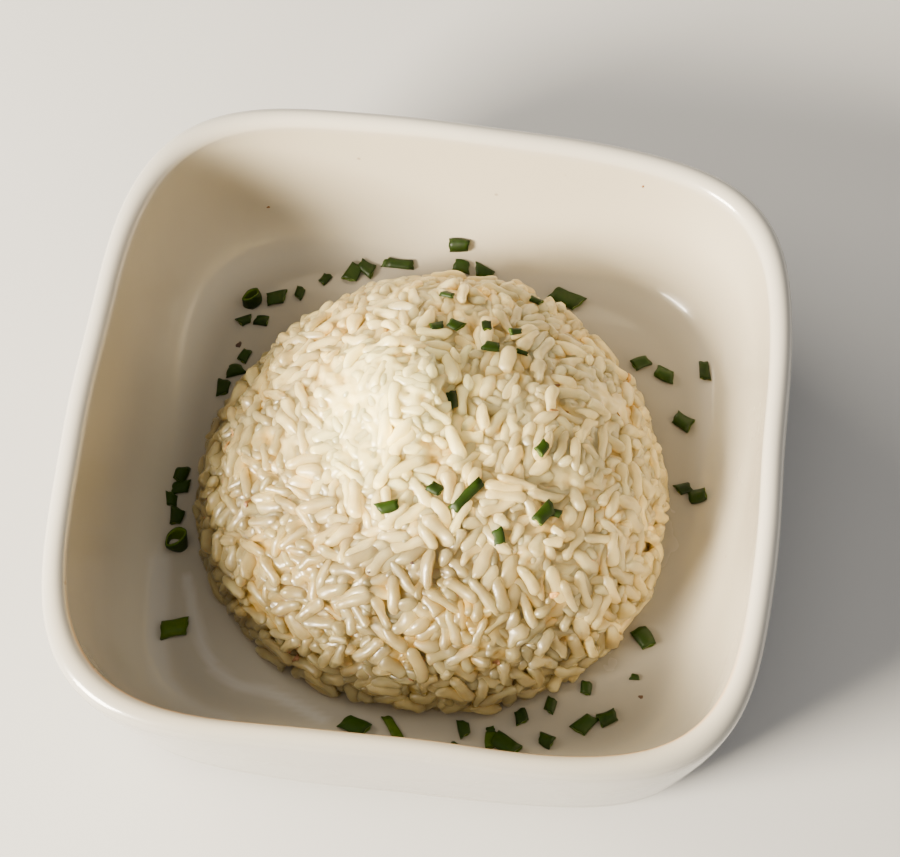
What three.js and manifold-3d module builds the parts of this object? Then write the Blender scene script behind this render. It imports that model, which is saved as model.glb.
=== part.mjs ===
// A square ceramic bowl with a moulded dome of white rice and chopped chives.
// Millimetres, +Z up. The origin is on the table, under the middle of the bowl.
import * as THREE from "three";
import { mergeVertices } from "three/addons/utils/BufferGeometryUtils.js";
import Module from "manifold-3d";

const wasm = await Module();
wasm.setup();

// Bowl: half sizes are measured from the middle to the middle of a side.
const RIM_HALF = 78;
const RIM_HEIGHT = 44.8;
const LIP_RADIUS = 2.5;
const BODY_HALF = 72.7;
const BODY_EDGE_HEIGHT = 9;
const FOOT_HALF = 62;
const FOOT_INNER_HALF = 54;
const FOOT_RECESS = 1.5;
const FLOOR_HALF = 56;
const FLOOR_HEIGHT = 6.4;
const RIM_SQUARENESS = 4.6;
const BODY_SQUARENESS = 4.2;
const WALL_BEND_HEIGHT = 22;
const OUTER_WALL_BULGE = 3.2;
const INNER_WALL_HALF = 70.8;
const INNER_CURVE_HALF = 68.5;
// The bowl is hand finished: its sides differ a little in length, and its rim waves.
const BACK_CORNER_ROUNDING = 0.3;
const DIAGONAL_ROUNDING = 0.1;
const DIAGONAL_SWELL = 0.004;
const LEFT_SWELL = 0.018;
const FRONT_SWELL = 0.003;
const SIDE_SWELL = 0.01;
const RIM_CORNER_WARP = -0.55;
const RIM_SIDE_RISE = 0.75;
const WARP_START_HEIGHT = 14;
const BOWL_SEGMENTS = 52;
const CORNER_CROWDING = 0.5;

// Rice: a dome that rests just over the bowl's floor.
const FLOOR_GAP = 0.3;
const DOME_BASE = FLOOR_HEIGHT + FLOOR_GAP;
const DOME_MIDDLE = { x: 0.8, y: -0.4 };
const DOME_RADIUS = 53.4;
const DOME_RISE = 35.5;
const DOME_ROUNDNESS = 2.3;
const DOME_UNEVEN = 1.1;
const DOME_UNEVEN_TURN = 3.4;
const DOME_TUCK = 1.6;
const DOME_TUCK_HEIGHT = 4;
const PEAK = { x: -5, y: 9, rise: 5, spread: 10 };
const DOME_SEGMENTS = 48;
const DOME_ROWS = 14;
const BUMP_DEPTH = 0.55;
const GRAIN_LENGTH = 8.8;
const GRAIN_WIDTH = 3;
const GRAIN_SPACING = 9.5;
const GRAIN_SMALLEST = 0.88;
const GRAIN_SIZE_RANGE = 0.22;
const GRAIN_TILT = 0.35;
const GRAIN_PROUD = 0.5;
const LEVEL_GRAINS_BELOW = 0.12;
const CROWN_SHARE = 0.1;
const GRAIN_SIDES = 5;
const GRAIN_RINGS = 4;
const GRAIN_TRIES = 9000;
const GRAIN_REACH = 55.4;
const RANDOM_SEED = 20;

// Chives: chopped tube ends. Each row is x, y, length and turn in degrees.
const CHIVE_RADIUS = 1.45;
const CHIVE_SIDES = 6;
const CHIVE_SINK = 0.45;
const CHIVE_PROUD_OF_RICE = 0.4;
const CHIVES_BEHIND = [
  [-2, 65, 4.6, 10],
  [-18.5, 60, 3.4, 0],
  [-27, 56.5, 4.4, 70],
  [-24, 58, 4, 150],
  [-16, 60, 6.5, 0],
  [-33.5, 54, 2.6, 60],
  [-39, 49.5, 2.8, 80],
  [-44.5, 47.5, 4.4, 20],
  [-50, 46, 5, 110],
  [-51, 40.5, 3, 30],
  [-47, 41, 3, 0],
  [-49.5, 31, 3.2, 70],
  [-51, 27, 3.6, 20],
  [-53, 22, 3.6, 90],
  [-1, 61, 3.8, 170],
  [4.5, 60, 4.2, 160],
  [25, 55.5, 7, 160],
];
const CHIVES_RIGHT = [
  [44.5, 40.5, 3.8, 30],
  [50.5, 38, 4.4, 160],
  [60, 39.5, 4.4, 100],
  [56, 26, 4.4, 150],
  [58, 9, 3.2, 20],
  [61.5, 7, 4, 10],
  [52.5, -29, 4.8, 130],
  [51.5, -38.5, 1.8, 0],
];
const CHIVES_IN_FRONT = [
  [41, -42.5, 2.8, 90],
  [33.5, -47.5, 3.2, 80],
  [27.5, -51, 3, 110],
  [46.5, -49, 4, 30],
  [41.5, -51, 4.8, 50],
  [33.5, -56, 3.2, 160],
  [15, -55.5, 3.4, 110],
  [21, -55, 1.8, 20],
  [-0.5, -57.5, 6.6, 125],
  [-9, -58, 5.6, 160],
  [0.5, -61, 3.2, 160],
  [11, -62, 3.4, 20],
  [14, -61, 3.2, 140],
  [22, -58.5, 5, 60],
  [25.5, -59.5, 4.6, 140],
  [30.5, -61.5, 3, 0],
];
const CHIVES_LEFT = [
  [-59, -2, 3.4, 80],
  [-58.5, -5, 4, 20],
  [-60, -8.5, 3, 100],
  [-58, -12.5, 3.6, 90],
  [-57, -19, 5.4, 110],
  [-53.5, -40, 6, 20],
];
const CHIVES_ON_RICE = [
  [-0.5, 38.5, 2.8, 150],
  [-1.5, 28, 3, 30],
  [2.5, 29, 3, 160],
  [9.5, 29, 2.4, 100],
  [16, 29, 2.8, 30],
  [11.5, 24, 3.4, 0],
  [18.5, 24.5, 2.4, 0],
  [19, 43, 2.8, 0],
  [5.5, 8, 4, 110],
  [25.5, -0.5, 3, 60],
  [4, -13.5, 3, 160],
  [11, -14, 8, 55],
  [-5.5, -19, 4.6, 20],
  [28, -14.5, 5.4, 55],
  [30.5, -13.5, 2.6, 0],
  [19, -21.5, 3.4, 110],
];

const UP = new THREE.Vector3(0, 0, 1);

// Distance from the middle to the bowl's outline of half size 1 in direction turn.
function outlineReach(turn, squareness = RIM_SQUARENESS) {
  const rounding = BACK_CORNER_ROUNDING * Math.sin(turn) + DIAGONAL_ROUNDING * Math.sin(2 * turn);
  const power = squareness - rounding;
  const across = Math.abs(Math.cos(turn)) ** power;
  const along = Math.abs(Math.sin(turn)) ** power;
  const even = (across + along) ** (-1 / power);
  const swell = LEFT_SWELL * Math.cos(turn) + FRONT_SWELL * Math.sin(turn);
  const diagonal = DIAGONAL_SWELL * Math.sin(2 * turn);
  return even * (1 - swell - diagonal + SIDE_SWELL * Math.cos(2 * turn));
}

// How far the rim stands over its mean height in direction turn.
function rimWave(turn) {
  return RIM_CORNER_WARP * Math.sin(2 * turn) + RIM_SIDE_RISE * Math.cos(4 * turn);
}

// The directions in which the bowl's outline has a point, closer together at its corners.
function bowlTurn(column) {
  const even = (2 * Math.PI * column) / BOWL_SEGMENTS;
  return even + (CORNER_CROWDING / 4) * Math.sin(4 * even);
}

// The swells move the outline's middle, and this shift puts it back over the origin.
function centreShift() {
  const outline = new THREE.Box2();
  for (let column = 0; column < BOWL_SEGMENTS; column++) {
    const turn = bowlTurn(column);
    const reach = RIM_HALF * outlineReach(turn);
    outline.expandByPoint(new THREE.Vector2(reach * Math.cos(turn), reach * Math.sin(turn)));
  }
  return outline.getCenter(new THREE.Vector2()).negate();
}

const CENTRE_SHIFT = centreShift();

function arc(x, z, radiusX, radiusZ, from, to, steps) {
  const points = [];
  for (let i = 0; i <= steps; i++) {
    const a = THREE.MathUtils.degToRad(from + ((to - from) * i) / steps);
    points.push(new THREE.Vector2(x + radiusX * Math.cos(a), z + radiusZ * Math.sin(a)));
  }
  return points;
}

const LIP_MIDDLE = RIM_HALF - LIP_RADIUS;

const OUTER_WALL = new THREE.QuadraticBezierCurve(
  new THREE.Vector2(BODY_HALF, BODY_EDGE_HEIGHT),
  new THREE.Vector2(BODY_HALF + OUTER_WALL_BULGE, WALL_BEND_HEIGHT),
  new THREE.Vector2(RIM_HALF, RIM_HEIGHT - 1),
);

const INNER_WALL = new THREE.CubicBezierCurve(
  new THREE.Vector2(LIP_MIDDLE - LIP_RADIUS, RIM_HEIGHT),
  new THREE.Vector2(INNER_WALL_HALF, WALL_BEND_HEIGHT),
  new THREE.Vector2(INNER_CURVE_HALF, FLOOR_HEIGHT),
  new THREE.Vector2(FLOOR_HALF, FLOOR_HEIGHT),
);

// The bowl's section from the middle of its underside up to its rim.
const OUTER_SECTION = [
  new THREE.Vector2(0, FOOT_RECESS),
  new THREE.Vector2(FOOT_INNER_HALF - 1, FOOT_RECESS),
  new THREE.Vector2(FOOT_INNER_HALF, 0),
  ...arc(FOOT_HALF, BODY_EDGE_HEIGHT, BODY_HALF - FOOT_HALF, BODY_EDGE_HEIGHT, -90, -18, 4),
  ...OUTER_WALL.getPoints(3),
];

// The section goes on over the lip and down to the middle of the floor.
const INNER_SECTION = [
  ...arc(LIP_MIDDLE, RIM_HEIGHT, LIP_RADIUS, LIP_RADIUS, 20, 150, 4),
  ...INNER_WALL.getPoints(8),
  new THREE.Vector2(0, FLOOR_HEIGHT),
];

function bowlGeometry() {
  const section = [...OUTER_SECTION, ...INNER_SECTION];
  const rows = section.length;
  const geometry = new THREE.LatheGeometry(section, BOWL_SEGMENTS);
  geometry.rotateX(Math.PI / 2);
  const place = geometry.attributes.position;
  for (let i = 0; i < place.count; i++) {
    const half = Math.hypot(place.getX(i), place.getY(i));
    const turn = bowlTurn(Math.floor(i / rows) % BOWL_SEGMENTS);
    const z = place.getZ(i);
    const climb = THREE.MathUtils.smoothstep(z, WARP_START_HEIGHT, RIM_HEIGHT);
    const outside = i % rows < OUTER_SECTION.length;
    const squareness = THREE.MathUtils.lerp(BODY_SQUARENESS, RIM_SQUARENESS, outside ? climb : 1);
    const reach = half * outlineReach(turn, squareness);
    const x = reach * Math.cos(turn) + CENTRE_SHIFT.x;
    const y = reach * Math.sin(turn) + CENTRE_SHIFT.y;
    const wave = climb * rimWave(turn);
    place.setXYZ(i, x, y, z + wave);
  }
  return geometry;
}

// Height of the bowl's inner surface over the table at x, y, for pieces that lie in it.
function bowlSurface(x, y) {
  const turn = Math.atan2(y - CENTRE_SHIFT.y, x - CENTRE_SHIFT.x);
  const half = Math.hypot(x - CENTRE_SHIFT.x, y - CENTRE_SHIFT.y) / outlineReach(turn);
  if (half <= FLOOR_HALF) return FLOOR_HEIGHT;
  let low = 0;
  let high = 1;
  for (let i = 0; i < 30; i++) {
    const middle = (low + high) / 2;
    if (INNER_WALL.getPoint(middle).x > half) low = middle;
    else high = middle;
  }
  return INNER_WALL.getPoint(low).y;
}

function randomFrom(seed) {
  let state = seed;
  return () => {
    state = (Math.imul(state, 1664525) + 1013904223) >>> 0;
    return state / 4294967296;
  };
}

// A point of the dome: turn goes round it and lift from its foot, 0, to its top, 1.
function domePoint(turn, lift) {
  const climb = (lift * Math.PI) / 2;
  const power = 2 / DOME_ROUNDNESS;
  const height = DOME_RISE * Math.sin(climb) ** power;
  const foot = Math.max(0, 1 - height / DOME_TUCK_HEIGHT);
  const uneven = DOME_UNEVEN * Math.sin(3 * turn + DOME_UNEVEN_TURN);
  const side = Math.max(0, Math.cos(climb)) ** power;
  const radius = DOME_RADIUS * side + side * uneven - DOME_TUCK * foot * foot;
  const x = DOME_MIDDLE.x + radius * Math.cos(turn);
  const y = DOME_MIDDLE.y + radius * Math.sin(turn);
  const away = ((x - PEAK.x) ** 2 + (y - PEAK.y) ** 2) / (2 * PEAK.spread ** 2);
  const peak = PEAK.rise * Math.exp(-away);
  return new THREE.Vector3(x, y, DOME_BASE + height + peak);
}

function domeNormal(turn, lift) {
  const step = 0.01;
  const round = domePoint(turn + step, lift).sub(domePoint(turn - step, lift));
  const upward = domePoint(turn, Math.min(1, lift + step));
  upward.sub(domePoint(turn, Math.max(0, lift - step)));
  return round.cross(upward).normalize();
}

// The point and normal of the dome over x, y, found along the line from the dome's middle.
function domeOver(x, y) {
  const reach = Math.hypot(x - DOME_MIDDLE.x, y - DOME_MIDDLE.y);
  const turn = Math.atan2(y - DOME_MIDDLE.y, x - DOME_MIDDLE.x);
  let low = 0;
  let high = 1;
  for (let i = 0; i < 30; i++) {
    const middle = (low + high) / 2;
    const place = domePoint(turn, middle);
    if (Math.hypot(place.x - DOME_MIDDLE.x, place.y - DOME_MIDDLE.y) > reach) low = middle;
    else high = middle;
  }
  return { point: domePoint(turn, low), normal: domeNormal(turn, low) };
}

// The dome without its grains, with bumps between them.
function domeGeometry(random) {
  const section = [new THREE.Vector2(0, 0)];
  for (let row = 0; row < DOME_ROWS; row++) section.push(new THREE.Vector2(1, row));
  section.push(new THREE.Vector2(0, DOME_ROWS));
  const geometry = new THREE.LatheGeometry(section, DOME_SEGMENTS);
  geometry.rotateX(Math.PI / 2);
  const place = geometry.attributes.position;
  const rows = section.length;
  const bumps = Array.from({ length: rows * DOME_SEGMENTS }, () => BUMP_DEPTH * (2 * random() - 1));
  for (let i = 0; i < place.count; i++) {
    const row = i % rows;
    const column = Math.floor(i / rows) % DOME_SEGMENTS;
    const turn = (2 * Math.PI * column) / DOME_SEGMENTS;
    if (row === 0) {
      place.setXYZ(i, DOME_MIDDLE.x, DOME_MIDDLE.y, DOME_BASE);
      continue;
    }
    const lift = (row - 1) / DOME_ROWS;
    const point = domePoint(turn, row === rows - 1 ? 1 : lift);
    if (row > 1 && row < rows - 1) {
      point.addScaledVector(domeNormal(turn, lift), bumps[row * DOME_SEGMENTS + column]);
    }
    place.setXYZ(i, point.x, point.y, point.z);
  }
  return geometry;
}

function solidOf(geometry) {
  geometry.deleteAttribute("normal");
  geometry.deleteAttribute("uv");
  const merged = mergeVertices(geometry, 1e-4);
  return new wasm.Manifold(
    new wasm.Mesh({
      numProp: 3,
      vertProperties: new Float32Array(merged.attributes.position.array),
      triVerts: new Uint32Array(merged.index.array),
    }),
  );
}

function geometryOf(solid) {
  const mesh = solid.getMesh();
  const geometry = new THREE.BufferGeometry();
  geometry.setAttribute("position", new THREE.BufferAttribute(mesh.vertProperties, 3));
  geometry.setIndex(new THREE.BufferAttribute(mesh.triVerts, 1));
  geometry.computeVertexNormals();
  return geometry;
}

// Joins the pieces, drops what stays loose and fills what the joining seals.
function fuse(pieces) {
  const joined = pieces.reduce((sum, piece) => sum.add(piece));
  return joined.decompose().reduce((best, body) => (body.volume() > best.volume() ? body : best));
}

function turnedTo(direction, normal) {
  const side = new THREE.Vector3().crossVectors(direction, normal).normalize();
  const matrix = new THREE.Matrix4().makeBasis(side, direction, normal);
  return new THREE.Quaternion().setFromRotationMatrix(matrix);
}

// One grain as a low ellipsoid whose long axis is direction.
function grainGeometry(point, normal, direction, size) {
  const grain = new THREE.SphereGeometry(0.5, GRAIN_SIDES, GRAIN_RINGS);
  grain.scale(GRAIN_WIDTH * size, GRAIN_LENGTH * size, GRAIN_WIDTH * size);
  grain.applyQuaternion(turnedTo(direction, normal));
  grain.translate(point.x, point.y, point.z);
  return grain;
}

function clearOfBowl(geometry) {
  const place = geometry.attributes.position;
  for (let i = 0; i < place.count; i++) {
    if (place.getZ(i) < DOME_BASE) return false;
    if (Math.hypot(place.getX(i), place.getY(i)) > GRAIN_REACH) return false;
  }
  return true;
}

// The grains that show, spread evenly over the dome and half sunk in it.
function grainGeometries(random) {
  const grains = [];
  const taken = [];
  for (let i = 0; i < GRAIN_TRIES; i++) {
    const turn = 2 * Math.PI * random();
    const lift = random();
    const spin = Math.PI * random();
    const size = GRAIN_SMALLEST + GRAIN_SIZE_RANGE * random();
    const tilt = GRAIN_TILT * (random() - GRAIN_TILT);
    const keep = random();
    const point = domePoint(turn, lift);
    if (keep > Math.hypot(point.x, point.y) / DOME_RADIUS + CROWN_SHARE) continue;
    if (taken.some((other) => other.distanceTo(point) < GRAIN_SPACING)) continue;
    const normal = domeNormal(turn, lift);
    const level = new THREE.Vector3().crossVectors(UP, normal);
    if (level.length() < LEVEL_GRAINS_BELOW) level.set(1, 0, 0);
    level.normalize();
    const slant = lift < LEVEL_GRAINS_BELOW ? (spin - Math.PI / 2) / 2 : spin;
    const direction = level.applyAxisAngle(normal, slant);
    direction.addScaledVector(normal, tilt).normalize();
    const upright = new THREE.Vector3().crossVectors(direction, normal).cross(direction);
    const centre = point.clone().addScaledVector(normal, GRAIN_PROUD);
    const grain = grainGeometry(centre, upright.normalize(), direction, size);
    if (!clearOfBowl(grain)) continue;
    taken.push(point);
    grains.push(grain);
  }
  return grains;
}

// A chopped chive that lies on a surface.
function chiveGeometry(point, normal, length, degrees) {
  const chive = new THREE.CylinderGeometry(CHIVE_RADIUS, CHIVE_RADIUS, length, CHIVE_SIDES);
  const turn = THREE.MathUtils.degToRad(degrees);
  const direction = new THREE.Vector3(Math.cos(turn), Math.sin(turn), 0);
  direction.addScaledVector(normal, -direction.dot(normal)).normalize();
  chive.applyQuaternion(turnedTo(direction, normal));
  const lift = CHIVE_RADIUS - CHIVE_SINK;
  chive.translate(
    point.x + normal.x * lift,
    point.y + normal.y * lift,
    point.z + normal.z * lift,
  );
  return chive;
}

function chiveInBowl([x, y, length, degrees]) {
  const step = 0.5;
  const slopeX = (bowlSurface(x + step, y) - bowlSurface(x - step, y)) / (2 * step);
  const slopeY = (bowlSurface(x, y + step) - bowlSurface(x, y - step)) / (2 * step);
  const normal = new THREE.Vector3(-slopeX, -slopeY, 1).normalize();
  const point = new THREE.Vector3(x, y, bowlSurface(x, y));
  return chiveGeometry(point, normal, length, degrees);
}

function chiveOnRice([x, y, length, degrees]) {
  const { point, normal } = domeOver(x, y);
  point.addScaledVector(normal, CHIVE_PROUD_OF_RICE);
  return chiveGeometry(point, normal, length, degrees);
}

function bowlSolid() {
  const places = [...CHIVES_BEHIND, ...CHIVES_RIGHT, ...CHIVES_IN_FRONT, ...CHIVES_LEFT];
  const chives = places.map((place) => solidOf(chiveInBowl(place)));
  return fuse([solidOf(bowlGeometry()), ...chives]);
}

function riceSolid() {
  const random = randomFrom(RANDOM_SEED);
  const dome = solidOf(domeGeometry(random));
  const grains = grainGeometries(random).map(solidOf);
  const chives = CHIVES_ON_RICE.map((place) => solidOf(chiveOnRice(place)));
  return fuse([dome, ...grains, ...chives]);
}

const glaze = new THREE.MeshStandardMaterial({ color: 0xe6dfd0, roughness: 0.25, metalness: 0 });
const cookedRice = new THREE.MeshStandardMaterial({ color: 0xefe6cf, roughness: 0.4, metalness: 0 });

const dish = new THREE.Mesh(geometryOf(bowlSolid()), glaze);
dish.name = "dish";

const rice = new THREE.Mesh(geometryOf(riceSolid()), cookedRice);
rice.name = "rice";

const plateOfRice = new THREE.Group();
plateOfRice.add(dish, rice);

export default plateOfRice;
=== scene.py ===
import math

import bpy
import numpy as np
from mathutils import Matrix, Vector


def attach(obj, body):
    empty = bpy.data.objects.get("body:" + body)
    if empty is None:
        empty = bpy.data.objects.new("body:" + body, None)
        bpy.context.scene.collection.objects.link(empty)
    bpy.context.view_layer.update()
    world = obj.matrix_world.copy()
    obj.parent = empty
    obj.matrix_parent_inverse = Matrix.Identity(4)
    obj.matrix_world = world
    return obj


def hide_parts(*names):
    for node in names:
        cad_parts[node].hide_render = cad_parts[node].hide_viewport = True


# A square ceramic bowl with a dome of cooked rice and chopped chives.
# Sizes are in millimetres and become metres where a mesh is made. Materials and lights count in metres.
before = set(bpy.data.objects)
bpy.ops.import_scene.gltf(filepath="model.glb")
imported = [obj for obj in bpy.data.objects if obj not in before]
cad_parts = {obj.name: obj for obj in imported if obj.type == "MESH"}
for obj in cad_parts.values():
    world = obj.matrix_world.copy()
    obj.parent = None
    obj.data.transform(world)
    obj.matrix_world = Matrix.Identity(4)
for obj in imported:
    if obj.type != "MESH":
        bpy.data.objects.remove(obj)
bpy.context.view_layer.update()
MM = 0.001

# Camera: where the photograph was taken from, in degrees and millimetres.
CAMERA_TARGET = (1.3, 21.1, 0.0)
CAMERA_DISTANCE = 619.2
CAMERA_ELEVATION = 64.1
CAMERA_AZIMUTH = 11.2
CAMERA_ROLL = -3.8
CAMERA_LENS = 104.0
SENSOR_WIDTH = 36.0

# Bowl: half sizes are measured from the middle to the middle of a side.
RIM_HALF = 78
RIM_HEIGHT = 44.8
LIP_RADIUS = 2.5
BODY_HALF = 72.7
BODY_EDGE_HEIGHT = 9
FOOT_HALF = 62
FOOT_INNER_HALF = 54
FOOT_RECESS = 1.5
FLOOR_HALF = 56
FLOOR_HEIGHT = 6.4
FOOT_RIDGE_WIDTH = 4
FOOT_EDGE_ROUNDING = 1.2
WALL_BEND_HEIGHT = 22
OUTER_WALL_BULGE = 3.2
INNER_WALL_HALF = 70.8
INNER_CURVE_HALF = 68.5
OUTER_WALL_TOP = RIM_HEIGHT - 1
RIM_SQUARENESS = 4.6
BODY_SQUARENESS = 4.2
BACK_CORNER_ROUNDING = 0.3
DIAGONAL_ROUNDING = 0.1
DIAGONAL_SWELL = 0.004
LEFT_SWELL = 0.018
FRONT_SWELL = 0.003
SIDE_SWELL = 0.01
RIM_CORNER_WARP = -0.55
RIM_SIDE_RISE = 0.75
WARP_START_HEIGHT = 14
CORNER_CROWDING = 0.5
BOWL_COLUMNS = 240
FOOT_STEPS = 4
BODY_STEPS = 14
OUTER_WALL_STEPS = 22
INNER_WALL_STEPS = 48
LIP_STEPS = 16
# The rings of the underside and the floor. The smallest closes the skin but for a pinhole.
PINHOLE_HALF = 0.01
UNDERSIDE_RINGS = (PINHOLE_HALF, 25, FOOT_INNER_HALF - 2)
FLOOR_RINGS = (*range(55, 44, -1), 41, 34, 26, 17, 8, PINHOLE_HALF)
# The thrown clay is never quite true. Slow waves run round the body: size, how many go round,
# how they turn with each millimetre of height, and where they start. They grow between two half sizes.
HAND_WAVES = [(0.14, 7, 0.08, 0.0), (0.10, 13, -0.21, 1.3)]
HAND_FROM = 30
HAND_TO = 60
# How the glaze's tones fade into each other: in millimetres, rows of points and the sine of the turn.
LIP_FADE = 1.5
FLOOR_FADE = 11
OUTSIDE_FADE_ROWS = (2, 12)
CLAY_LINE_ROW = LIP_STEPS - 2
CLAY_LINE_SPREAD = 1.1
FRONT_FADE = (0.35, 0.8)
FRONT_LIP_LOSS = 0.9
# Painted reflections: pale bands on the floor, by half width and the points that they pass.
OUTER_REFLECTION_BAND = [(-60, -24), (-58.5, -33), (-57, -44), (-54, -53), (-49, -57.5), (-44, -60), (-38, -61)]
INNER_REFLECTION_BAND = [
    (-53, -27), (-50, -35), (-47, -42), (-43, -48), (-37, -51.5), (-30, -52), (-24, -54), (-17, -57),
]
REFLECTION_BANDS = [(2.6, OUTER_REFLECTION_BAND), (1.3, INNER_REFLECTION_BAND)]

# Rice: the dome's outer form.
DOME_BASE = FLOOR_HEIGHT
DOME_MIDDLE = (0.8, -0.4)
DOME_RADIUS = 53.4
DOME_RISE = 35.8
DOME_ROUNDNESS = 2.3
DOME_UNEVEN = 1.1
DOME_UNEVEN_TURN = 3.4
PEAK = {"x": -6.0, "y": 9.0, "rise": 6.0, "spread": 12.0, "steepness": 1.5}
# A crease runs down to the right of the peak.
CREASE = {"start": (5.5, 9.0), "end": (13.0, -6.0), "depth": 1.6, "spread": 2.0}
# Low lumps: small ones in a criss-cross, and long ones in slanting rows.
SMALL_LUMPS = {"height": 0.6, "across": 4.3, "along": 5.1, "start": 1.0}
LONG_LUMPS = {"height": 0.5, "across": 8.2, "along": 7.0}

# Grains: how many of each kind, their mean length, width and bend, and whether one end is cut blunt.
GRAIN_KINDS = {
    "plump": {"count": 390, "length": 8.3, "width": 3.15, "bend": 0.25, "blunt": False},
    "slim": {"count": 380, "length": 8.8, "width": 2.8, "bend": 0.35, "blunt": False},
    "bent": {"count": 360, "length": 8.6, "width": 2.95, "bend": 0.7, "blunt": False},
    "broken": {"count": 330, "length": 4.6, "width": 2.6, "bend": 0.2, "blunt": True},
    "swollen": {"count": 250, "length": 7.6, "width": 3.7, "bend": 0.25, "blunt": True},
}
LENGTH_RANGE = (0.88, 1.1)
WIDTH_RANGE = (0.92, 1.06)
GRAIN_SIDES = 12
GRAIN_RINGS = 15
# What makes one grain differ from the next: its rounded ends in half widths, and shares of its size.
ROUND_END = (0.9, 1.9)
TAPER = 0.08
WAIST = 0.07
WAIST_WAVE = 3.5
# Ridges along a grain: size, how many, and how they twist toward its ends.
RIDGES = [(0.06, 2, 0), (0.06, 3, 3), (0.02, 5, -3)]
FLATNESS = (0.74, 0.94)
BLUNT_LOSS = 0.12
BLUNT_SLANT = 0.16
BEND_RANGE = (0.6, 1.2)
BEND_SHARE = 0.9
# Packing: where the grains start out, and how their beads move in each round.
SCATTER_HALF = 56
SCATTER_TOP = 52
SCATTER_BATCH = 6000
SCATTER_SKIN = 1.2
LYING_SHARE = 0.78
BEADS = 5
BEAD_SHARE = 0.47
END_BEAD_SHARE = 0.86
SHELL_DEPTH = 5.5
PACKING_ROUNDS = 130
PACKING_SLACK = 0.75
PACKING_PUSH = 1.5
PACKING_DRIFT = 0.03
# How far a grain stands out of the dome's surface.
LOWEST_PROUD = -1.3
HIGHEST_PROUD = 0.8
# The grains stand out further toward the foot, where nothing pressed them.
FOOT_PROUD = 1.1
FOOT_FROM = 12.0
FOOT_TO = 30.0
# Tone runs from 0, the darkest, to 1, the whitest. Besides each grain's own random tone it carries
# painted light and painted shade.
GRAIN_TONE = 0.34
TONE_SPREAD = 0.1
# Painted light: the crown is painted whitest, a pool of light on the peak.
PAINTED_CROWN_LIGHT = 0.9
CROWN_LIGHT_MIDDLE = (-9.0, 3.0)
CROWN_LIGHT_SPREAD = 24.0
# Painted shade: toward the front left, where the rim's shadow falls, the rice is painted darker.
SHADE_HEADING = (-0.65, -0.76)
SHADE_FACING = (-0.2, 0.6)
SHADE_FROM = 15.0
SHADE_TO = 46.0
SHADE_TONE = 0.8
# At the far right it is a little drier and paler.
DRY_FROM = 15.0
DRY_TO = 40.0
DRY_TONE = 0.06
# Waves move the points of every grain by about this much.
WARP_SIZE = 0.36
WARP_SEED = 7
# Waves that cross the heap: how many, and their shortest and longest length.
WARP_WAVES = {"count": 7, "shortest": 2.6, "longest": 6.5}
PRESSED_WAVES = {"seed": 31, "count": 9, "shortest": 9, "longest": 24}
HOLLOW_WAVES = {"seed": 41, "count": 16, "shortest": 1.9, "longest": 4.6}
TONE_WAVES = {"seed": 51, "count": 9, "shortest": 3, "longest": 9}
# The mass between the grains, and how deep it lies where the rice is pressed and where it is loose.
CORE_COLUMNS = 360
CORE_ROWS = 210
CORE_DEPTH_PRESSED = 0.4
CORE_DEPTH_LOOSE = 1.7
CORE_LEAST_DEPTH = 0.1
CORE_HOLLOWS = 0.7
CORE_TONE_SPREAD = 0.1
CORE_FOOT_INSET = 1.3
CORE_FOOT_FROM = 2
CORE_FOOT_TO = 14
# The dome's lumps fade out within a third of a radian of lift over its foot.
RELIEF_FADE = 3
# Where the rice is pressed: x, y, spread and strength.
PRESSED_PLACES = [(-18.0, 3.0, 19.0, 1.0), (36.0, 8.0, 17.0, 0.7)]
PRESSED_UNEVEN = 0.45
PRESSED_FADE = (-0.1, 0.9)
# The depth under the dome's surface at which the painted shade of a gap is full.
GAP_SHADE_DEPTH = 4.0
# What keeps the rice clear of the floor.
CLEARANCE = 0.05

# Chives: x, y, length, width and turn in degrees, and 1 for a ring that stands on its cut end.
CHIVES_BEHIND = [
    (-2, 65, 4.6, 3.4, 10, 0),
    (-18.5, 60, 3.4, 1.8, 0, 0),
    (-27, 56.5, 4.4, 3.4, 70, 0),
    (-24, 58, 4, 3.2, 150, 0),
    (-16, 60, 6.5, 2.4, 0, 0),
    (-33.5, 54, 2.6, 2.2, 60, 0),
    (-39, 49.5, 2.8, 2.2, 80, 0),
    (-44.5, 47.5, 4.4, 3.4, 20, 0),
    (-50, 46, 3.4, 4.6, 110, 1),
    (-51, 40.5, 3, 2.4, 30, 0),
    (-47, 41, 3, 2.6, 0, 0),
    (-49.5, 31, 3.2, 2.4, 70, 0),
    (-51, 27, 3.6, 3, 20, 0),
    (-53, 22, 3.6, 3, 90, 0),
    (-1, 61, 3.8, 3, 170, 0),
    (4.5, 60, 4.2, 3, 160, 0),
    (25, 55.5, 7, 4, 160, 0),
]
CHIVES_RIGHT = [
    (44.5, 40.5, 3.8, 3, 30, 0),
    (50.5, 38, 4.4, 3.2, 160, 0),
    (60, 39.5, 4.4, 2.6, 100, 0),
    (56, 26, 4.4, 3.6, 150, 0),
    (58, 9, 3.2, 2.8, 20, 0),
    (61.5, 7, 4, 3.4, 10, 0),
    (52.5, -29, 4.8, 3.8, 130, 0),
    (51.5, -38.5, 1.8, 1.4, 0, 0),
]
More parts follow.
